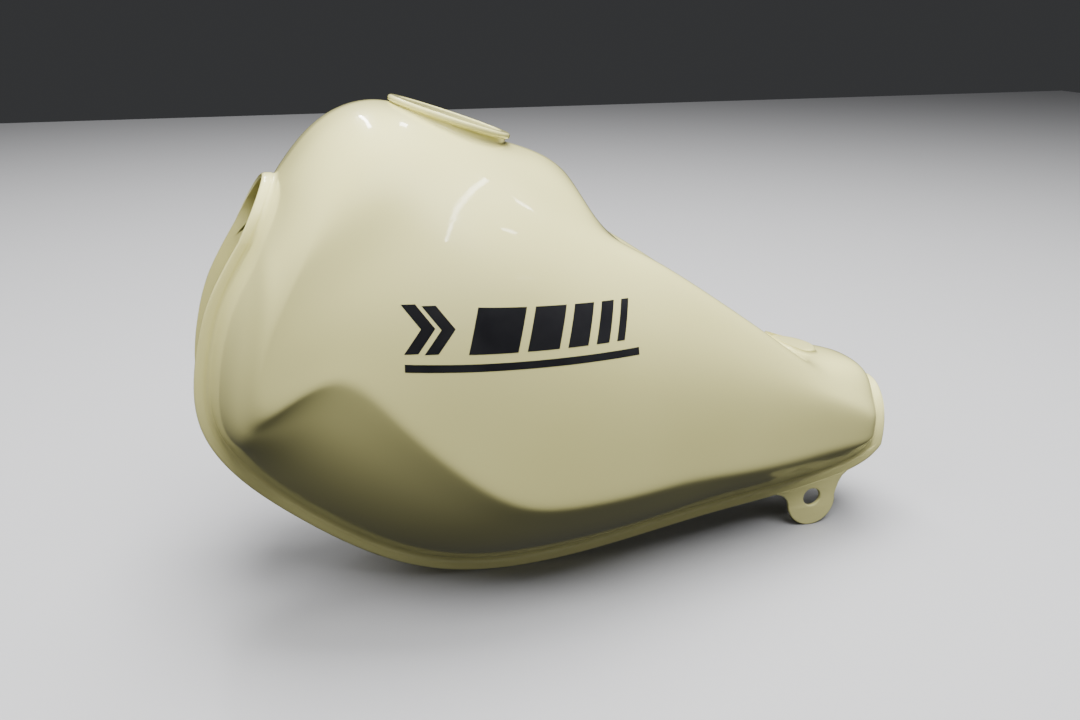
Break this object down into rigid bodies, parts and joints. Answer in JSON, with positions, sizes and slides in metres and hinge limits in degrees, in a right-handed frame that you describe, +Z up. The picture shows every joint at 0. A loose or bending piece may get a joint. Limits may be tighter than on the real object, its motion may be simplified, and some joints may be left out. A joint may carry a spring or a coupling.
{
  "type": "motorcycle fuel tank",
  "caption": "Saddle fuel tank of a small motorcycle: two pressed side shells on a tunnel panel, with filler neck, seam flange, rear ear, front buffer channels and tap bung.",
  "frame": {"origin": "centre of the bounding box, on the surface the tank stands on", "axes": "+X to the rear of the motorcycle, +Y to the rider's right, +Z up"},
  "size_m": [0.436, 0.2144, 0.2839],
  "materials": {
    "cream_paint": "gloss",
    "plated_steel": "satin",
    "black_film": "gloss"
  },
  "bodies": {
    "root": {"shell_left": "cream_paint", "shell_right": "cream_paint", "tunnel_panel": "cream_paint", "filler_collar": "cream_paint", "rear_ear": "cream_paint", "tail_boss": "cream_paint", "front_channel_left": "cream_paint", "front_channel_right": "cream_paint", "outlet_bung": "cream_paint", "filler_neck": "plated_steel", "neck_cam_lip": "plated_steel", "bung_backing_ring": "plated_steel", "mark_left": "black_film", "mark_right": "black_film", "bars_left": "black_film", "bars_right": "black_film", "pinstripe_left": "black_film", "pinstripe_right": "black_film"}
  },
  "joints": []
}
